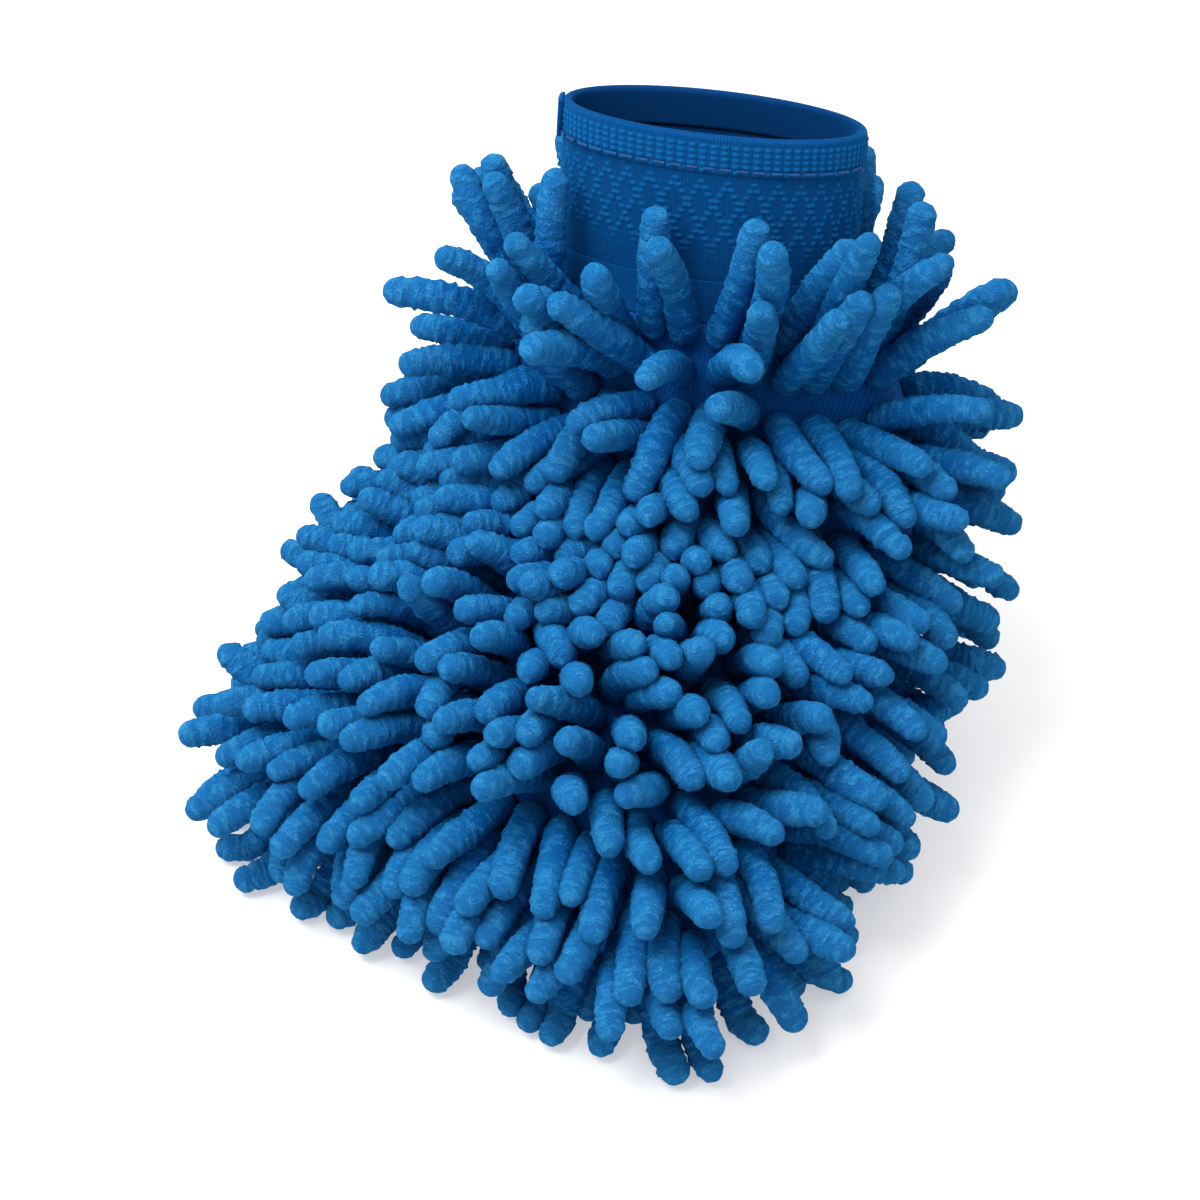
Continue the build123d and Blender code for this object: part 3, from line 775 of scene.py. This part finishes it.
@dataclass
class Bag:
    """The two outer panels, the lining, the seams and their stitches."""

    panel_relief: float = 0.5
    lining_relief: float = 0.3
    end_relief: float = 0.1
    seam_relief: float = 0.2

    def build(self, cuff_finish: bpy.types.Material) -> None:
        """Make the cloth from the frame's shapes and dress the seams.

        Args:
            cuff_finish: The cuff's knit, which the seam round the mouth is turned from.
        """
        base = KnitFinish("base_cloth", (0.001, 0.035, 0.160, 1.0), (0.003, 0.085, 0.340, 1.0),
                          loop_width=1.2)
        lining = KnitFinish("lining_cloth", (0.004, 0.045, 0.200, 1.0), (0.010, 0.110, 0.400, 1.0),
                            loop_width=1.0)
        base_finish, lining_finish = base.make(), lining.make()
        for side in Side:
            self.add_cloth(side.value + "_panel", base_finish, self.panel_relief)
            self.add_cloth("lining_" + side.value, lining_finish, self.lining_relief)
        self.add_cloth("lining_end", lining_finish, self.end_relief)
        for name in ("front_seam", "left_seam", "right_seam"):
            self.add_cloth(name, base_finish, self.seam_relief)
        self.add_cloth("mouth_seam", cuff_finish, self.seam_relief)
        thread = ThreadFinish("thread", (0.0003, 0.022, 0.100, 1.0), (0.0010, 0.070, 0.240, 1.0))
        elastic = ThreadFinish("elastic", (0.0005, 0.04, 0.16, 1.0), (0.002, 0.10, 0.33, 1.0), 700.0)
        thread_finish, elastic_finish = thread.make(), elastic.make()
        for name, node in frame["nodes"].items():
            if name.endswith("_stitching"):
                dress(node, thread_finish)
            elif name == "hem_elastic":
                dress(node, elastic_finish)

    def add_cloth(self, name: str, finish: bpy.types.Material, relief: float) -> bpy.types.Object:
        """Make one panel of cloth from its CAD shape.

        Args:
            name: The CAD node that it replaces.
            finish: Its material.
            relief: How far its surface waves in and out, in millimetres.

        Returns:
            The new piece.
        """
        shape = bmesh.new()
        shape.from_mesh(frame["nodes"][name].data)
        bmesh.ops.remove_doubles(shape, verts=shape.verts, dist=1e-5)
        bmesh.ops.triangulate(shape, faces=shape.faces)
        bmesh.ops.recalc_face_normals(shape, faces=shape.faces)
        mesh = bpy.data.meshes.new(name + "_cloth")
        shape.normal_update()
        points = np.array([v.co[:] for v in shape.verts]) / MM
        outward = np.array([v.normal[:] for v in shape.verts])
        for face in shape.faces:
            face.smooth = True
        shape.to_mesh(mesh)
        shape.free()
        wander = 1.3 * np.sin(points[:, 1] * 0.17)
        wave = np.sin(points[:, 0] * 0.31 + wander) * np.sin(points[:, 1] * 0.27)
        points = points + outward * (0.25 * relief * wave)[:, None]
        set_points(mesh, points * MM)
        along = points[:, 1] + 0.6 * points[:, 2]
        add_attribute(mesh, "cloth", np.stack([points[:, 0], along, points[:, 2]], axis=1))
        piece = link_mesh(name + "_cloth", mesh, finish)
        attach(piece, "mitt")
        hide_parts(name)
        LOG.info("%s: %d faces", piece.name, len(mesh.polygons))
        return piece


def dress(node: bpy.types.Object, finish: bpy.types.Material) -> None:
    """Give a CAD node that keeps its shape its finish."""
    node.data.materials.clear()
    node.data.materials.append(finish)


# ---------------------------------------------------------------- the knitted cuff


@dataclass(frozen=True)
class Ring:
    """One knitted ring of the cuff: its height along the cuff and its half sizes."""

    along: float
    wide: float
    deep: float


@dataclass
class Cuff:
    """The knitted cuff: foot, tube with raised zigzags, ribbed hem, end overlap and seam."""

    around: int = 660
    ribs: int = 88
    rib_height: float = 0.50
    course_count: int = 5
    dash_height: float = 0.42
    zigzag_repeats: int = 18
    course_pitch: float = 1.9        # height of one row of dashes
    course_shift: float = 0.14       # share of a zigzag that the next row moves by
    dash_width: float = 0.15
    zigzag_low: float = 12.0         # the zigzags fade out towards the foot
    tube_wall: float = 1.4
    foot_wall: float = 1.6
    hem_wall: float = 2.6
    hem_low: float = 0.0
    hem_high: float = 1.0
    rim_height: float = 1.9

    def build(self, finish: bpy.types.Material) -> None:
        """Make every piece of the cuff in its knit."""
        self.finish = finish
        self.add_hem()
        self.add_tube()
        self.add_foot()
        self.add_lap()
        self.add_seam()

    def tube_of(self, name: str, outer: list[Ring], inner: list[Ring], around: int,
                relief: Callable[[np.ndarray, np.ndarray], np.ndarray] | None = None
                ) -> bpy.types.Mesh:
        """Knit a closed wall from an outer and an inner run of rings.

        Args:
            name: The mesh's name.
            outer: The outer rings, from the foot upwards.
            inner: The inner rings, from the top downwards.
            around: How many points each ring has.
            relief: Height of the outer surface at a run round and along, in millimetres.

        Returns:
            The mesh, in the frame's coordinates, with its cloth attribute.
        """
        rings = outer + inner
        shape = bmesh.new()
        bmesh.ops.create_circle(shape, segments=around, radius=1.0)
        start = list(shape.edges)
        loop = start
        for _ in rings[1:]:
            made = bmesh.ops.extrude_edge_only(shape, edges=loop)["geom"]
            lifted = {item for item in made if isinstance(item, bmesh.types.BMVert)}
            edges = [item for item in made if isinstance(item, bmesh.types.BMEdge)]
            loop = [edge for edge in edges if set(edge.verts) <= lifted]
            bmesh.ops.translate(shape, verts=list(lifted), vec=(0.0, 0.0, 1.0))
        bmesh.ops.bridge_loops(shape, edges=start + loop)
        for face in shape.faces:
            face.smooth = True
        mesh = bpy.data.meshes.new(name)
        shape.to_mesh(mesh)
        shape.free()
        flat = np.zeros(len(mesh.vertices) * 3)
        mesh.vertices.foreach_get("co", flat)
        flat = flat.reshape(-1, 3)
        ring = np.round(flat[:, 2]).astype(int)
        turn = np.arctan2(flat[:, 1], flat[:, 0])
        along = np.array([r.along for r in rings])[ring]
        wide = np.array([r.wide for r in rings])[ring]
        deep = np.array([r.deep for r in rings])[ring]
        girth = math.pi * (rings[0].wide + rings[0].deep)
        run = (turn / (2 * math.pi) + 0.5) * girth
        rise = np.zeros(len(flat))
        if relief is not None:
            rise = np.where(ring < len(outer), relief(run / girth, along), 0.0)
        normal = unit(np.stack([np.cos(turn) / wide, np.sin(turn) / deep], axis=1))
        local = np.stack([wide * np.cos(turn) + normal[:, 0] * rise, along,
                          deep * np.sin(turn) + normal[:, 1] * rise], axis=1)
        axes = np.stack([np.array(ACROSS), np.array(ALONG), np.array(BACKWARD)])
        set_points(mesh, local @ axes * MM + np.array(FOLD["pos_m"]))
        add_attribute(mesh, "cloth", np.stack([run, along, np.zeros(len(flat))], axis=1))
        # raised drives the knit's painted highlight on the raised dashes and ribs
        add_attribute(mesh, "raised", rise / max(rise.max(), 1e-6))
        # inner marks the cuff's inner wall, which the knit paints in shade
        inside = sum(1 for r in inner if abs(r.wide - inner[-1].wide) < 2.0)
        add_attribute(mesh, "inner", (ring > len(rings) - inside).astype(float))
        side = np.round((turn / (2 * math.pi) + 0.5) * around).astype(int) % around
        self.lay_uv(mesh, (side, ring), (around, len(rings)))
        return self.faced_out(mesh)

    def lay_uv(self, mesh: bpy.types.Mesh, numbers: tuple[np.ndarray, np.ndarray],
               counts: tuple[int, int]) -> None:
        """Lay a closed wall of four-sided faces flat on its own UV map.

        Args:
            mesh: The wall's mesh.
            numbers: Each vertex's number round the cuff and its ring number.
            counts: How many there are of each.
        """
        corners = np.zeros(len(mesh.loops), int)
        mesh.loops.foreach_get("vertex_index", corners)
        places = np.empty((len(corners), 2))
        for axis, (number, count) in enumerate(zip(numbers, counts)):
            value = number[corners].reshape(-1, 4)
            spread = value.max(axis=1, keepdims=True) - value.min(axis=1, keepdims=True)
            wraps = (spread > count / 2) & (value < count / 2)
            places[:, axis] = (value + count * wraps).ravel() / count
        mesh.uv_layers.new(name="OFBake").data.foreach_set("uv", places.ravel())

    def faced_out(self, mesh: bpy.types.Mesh) -> bpy.types.Mesh:
        """Turn a closed mesh's faces outwards."""
        shape = bmesh.new()
        shape.from_mesh(mesh)
        bmesh.ops.recalc_face_normals(shape, faces=shape.faces)
        shape.to_mesh(mesh)
        shape.free()
        return mesh

    def place(self, name: str, mesh: bpy.types.Mesh, body: str | None) -> bpy.types.Object:
        """Dress one piece of the cuff, tie it to the frame and hide its CAD node."""
        piece = link_mesh(name + "_knit", mesh, self.finish)
        if body is None:
            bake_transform(piece)
        else:
            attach(piece, body)
        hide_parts(name)
        LOG.info("%s: %d faces", piece.name, len(mesh.polygons))
        return piece

    def zigzag(self, share: np.ndarray, along: np.ndarray) -> np.ndarray:
        """Return the height of the raised dashes that form zigzags round the cuff."""
        top = self.hem_low - 1.6
        phase = np.abs(((share * self.zigzag_repeats) % 1.0) - 0.5) * 2.0
        course = np.floor((top - along) / self.course_pitch)
        within = ((top - along) / self.course_pitch) % 1.0
        line = np.zeros_like(share)
        for shift in (0.0, 1.0):
            middle = np.abs(((course * self.course_shift + shift) % 2.0) - 1.0)
            gap = np.abs(phase - middle)
            line = np.maximum(line, np.clip(1.0 - gap / self.dash_width, 0.0, 1.0))
        dash = np.clip(1.35 - np.abs(within - 0.5) * 3.2, 0.0, 1.0)
        fade = np.clip((along - self.zigzag_low) / 6.0, 0.0, 1.0)
        fade = fade * np.clip((top - along) / 0.6, 0.0, 1.0)
        return self.dash_height * np.sqrt(line) * dash * fade

    def ribbing(self, share: np.ndarray, along: np.ndarray) -> np.ndarray:
        """Return the height of the hem's ribs, which its courses cut into a fine grid."""
        across = 0.5 + 0.5 * np.cos(2 * math.pi * share * self.ribs)
        place = (along - self.hem_low) / (self.hem_high - self.hem_low)
        courses = 0.5 - 0.5 * np.cos(2 * math.pi * place * self.course_count)
        inside = np.clip(place * 12.0, 0.0, 1.0) * np.clip((1.0 - place) * 12.0, 0.0, 1.0)
        return self.rib_height * inside * (across ** 0.6) * (0.15 + 0.85 * courses ** 0.6)

    def add_tube(self) -> None:
        """Make the smooth knit tube."""
        place = cuff_places("cuff_tube")
        low, high = place[:, 1].min(), place[:, 1].max()
        foot = place[place[:, 1] < low + 0.5]
        head = place[place[:, 1] > high - 0.5]
        sizes = [(half[:, 0].max(), half[:, 2].max()) for half in (foot, head)]
        heights = np.linspace(low, high, 92)
        outer = [self.between(low, high, sizes, h, 0.0) for h in heights]
        inner = [self.between(low, high, sizes, h, self.tube_wall) for h in np.linspace(high, low, 10)]
        mesh = self.tube_of("cuff_tube_knit", outer, inner, self.around, self.zigzag)
        self.place("cuff_tube", mesh, "cuff")

    def between(self, low: float, high: float, sizes: list[tuple[float, float]], height: float,
                inset: float) -> Ring:
        """Return the ring of a tapered tube at a height."""
        share = (height - low) / (high - low)
        wide = sizes[0][0] + share * (sizes[1][0] - sizes[0][0]) - inset
        deep = sizes[0][1] + share * (sizes[1][1] - sizes[0][1]) - inset
        return Ring(height, wide, deep)

    def add_hem(self) -> None:
        """Make the folded ribbed hem, round at its top edge."""
        place = cuff_places("cuff_hem")
        low, high = place[:, 1].min(), place[:, 1].max()
        self.hem_low, self.hem_high = low + 0.1, high - self.rim_height
        wide, deep = place[:, 0].max() - 0.3, place[:, 2].max() - 0.3
        thick = self.hem_wall
        outer = [Ring(h, wide, deep) for h in np.linspace(low + 0.1, high - thick / 2, 52)]
        turn = np.linspace(0.0, math.pi, 10)[1:-1]
        fold = [Ring(high - thick / 2 + math.sin(t) * thick / 2, wide - thick / 2 * (1 - math.cos(t)),
                     deep - thick / 2 * (1 - math.cos(t))) for t in turn]
        inner = [Ring(h, wide - thick, deep - thick)
                 for h in np.linspace(high - thick / 2, low + 0.1, 12)]
        mesh = self.tube_of("cuff_hem_knit", outer, fold + inner, self.around, self.ribbing)
        self.place("cuff_hem", mesh, "cuff")

    def add_foot(self) -> None:
        """Make the cuff's foot, which flares down to the seam and bends at the fold."""
        place = cuff_places("cuff_foot")
        low, high = place[:, 1].min(), place[:, 1].max()
        top = place[place[:, 1] > high - 0.6]
        bottom = place[place[:, 1] < low + 0.6]
        sizes = ((bottom[:, 0].max(), bottom[:, 2].max()), (top[:, 0].max(), top[:, 2].max()))

        def ring_at(height: float, inset: float) -> Ring:
            """Return the foot's ring at a height."""
            share = ((height - low) / (high - low)) ** 0.7
            wide = sizes[0][0] + share * (sizes[1][0] - sizes[0][0]) - inset
            deep = sizes[0][1] + share * (sizes[1][1] - sizes[0][1]) - inset
            return Ring(height, wide, deep)

        outer = [ring_at(h, 0.0) for h in np.linspace(low, high, 20)]
        inner = [ring_at(h, self.foot_wall) for h in np.linspace(high, low, 8)]
        mesh = self.tube_of("cuff_foot_knit", outer, inner, 240)
        self.place("cuff_foot", mesh, None)

    def add_lap(self) -> None:
        """Make the hem's end, lapped over its start at the side."""
        self.add_strip("hem_lap", 0.40)

    def add_seam(self) -> None:
        """Make the narrow seam that runs up inside the cuff's side."""
        self.add_strip("cuff_side_seam", 0.24)

    def add_strip(self, name: str, softness: float) -> None:
        """Make a strip of knit from its CAD shape with softened edges.

        Args:
            name: The CAD node that it replaces.
            softness: How wide its edges are rounded, in millimetres.
        """
        shape = bmesh.new()
        shape.from_mesh(frame["nodes"][name].data)
        bmesh.ops.remove_doubles(shape, verts=shape.verts, dist=1e-5)
        bmesh.ops.dissolve_limit(shape, angle_limit=0.02, verts=shape.verts, edges=shape.edges)
        sharp = [edge for edge in shape.edges if edge.calc_face_angle(0.0) > 1.0]
        bmesh.ops.bevel(shape, geom=sharp, offset=softness * MM, segments=3, affect="EDGES",
                        profile=0.5, material=-1)
        bmesh.ops.triangulate(shape, faces=shape.faces)
        bmesh.ops.recalc_face_normals(shape, faces=shape.faces)
        for face in shape.faces:
            face.smooth = True
        mesh = bpy.data.meshes.new(name + "_knit")
        shape.to_mesh(mesh)
        shape.free()
        points = np.zeros(len(mesh.vertices) * 3)
        mesh.vertices.foreach_get("co", points)
        axes = np.stack([np.array(ACROSS), np.array(ALONG), np.array(BACKWARD)])
        place = (points.reshape(-1, 3) - np.array(FOLD["pos_m"])) @ axes.T / MM
        add_attribute(mesh, "cloth", np.stack([place[:, 2], place[:, 1], place[:, 0]], axis=1))
        self.place(name, mesh, "cuff")


# ---------------------------------------------------------------- studio


@dataclass
class Studio:
    """Floor, soft lights and camera."""

    distance: float = 0.8
    azimuth: float = 30.0
    elevation: float = 42.0
    target: tuple[float, float, float] = (-0.0021, -0.0103, 0.0712)
    lens: float = 85.0
    surrounding: float = 0.80

    def build(self) -> None:
        """Make the studio."""
        self.add_camera()
        self.add_floor()
        self.add_lights()

    def add_camera(self) -> None:
        """Look down at the mitt from in front and a little to its right."""
        turn, rise = math.radians(self.azimuth), math.radians(self.elevation)
        back = Vector((math.sin(turn) * math.cos(rise), -math.cos(turn) * math.cos(rise), math.sin(rise)))
        data = bpy.data.cameras.new("camera")
        data.lens = self.lens
        data.clip_start = 0.01
        camera = bpy.data.objects.new("camera", data)
        camera.location = Vector(self.target) + back * self.distance
        camera.rotation_euler = back.to_track_quat("Z", "Y").to_euler()
        bpy.context.scene.collection.objects.link(camera)
        bpy.context.scene.camera = camera

    def add_floor(self) -> None:
        """Lay a wide pale floor under the mitt."""
        shape = bmesh.new()
        bmesh.ops.create_grid(shape, x_segments=2, y_segments=2, size=4.0)
        mesh = bpy.data.meshes.new("floor")
        shape.to_mesh(mesh)
        shape.free()
        link_mesh("floor", mesh, FloorFinish().make())

    def add_lights(self) -> None:
        """Hang a large soft key light, a fill and a pale surrounding."""
        scene = bpy.context.scene
        world = bpy.data.worlds.new("studio")
        world.use_nodes = True
        background = world.node_tree.nodes["Background"]
        background.inputs["Color"].default_value = (1.0, 1.0, 1.0, 1.0)
        background.inputs["Strength"].default_value = self.surrounding
        scene.world = world
        scene.view_settings.view_transform = "Standard"
        self.add_area("key", (-0.30, -0.26, 0.95), 0.62, 12.5)
        self.add_area("top", (0.10, 0.40, 1.10), 0.9, 3.0)

    def add_area(self, name: str, place: tuple[float, float, float], size: float, power: float) -> None:
        """Add a square soft light that faces the mitt."""
        data = bpy.data.lights.new(name, "AREA")
        data.size = size
        data.energy = power
        light = bpy.data.objects.new(name, data)
        light.location = place
        towards = Vector(place) - Vector((0.0, 0.0, 0.06))
        light.rotation_euler = towards.to_track_quat("Z", "Y").to_euler()
        bpy.context.scene.collection.objects.link(light)


def main() -> None:
    """Build the mitt's looks in order and report each piece."""
    logging.basicConfig(level=logging.INFO, format="%(message)s")
    Studio().build()
    Pile().build(ChenilleFinish().make())
    knit = KnitFinish("cuff_knit", (0.0003, 0.024, 0.105, 1.0), (0.0008, 0.075, 0.250, 1.0),
                      loop_width=0.62, loop_height=0.62, relief=0.12).make()
    Bag().build(knit)
    Cuff().build(knit)


if __name__ == "__main__":
    main()
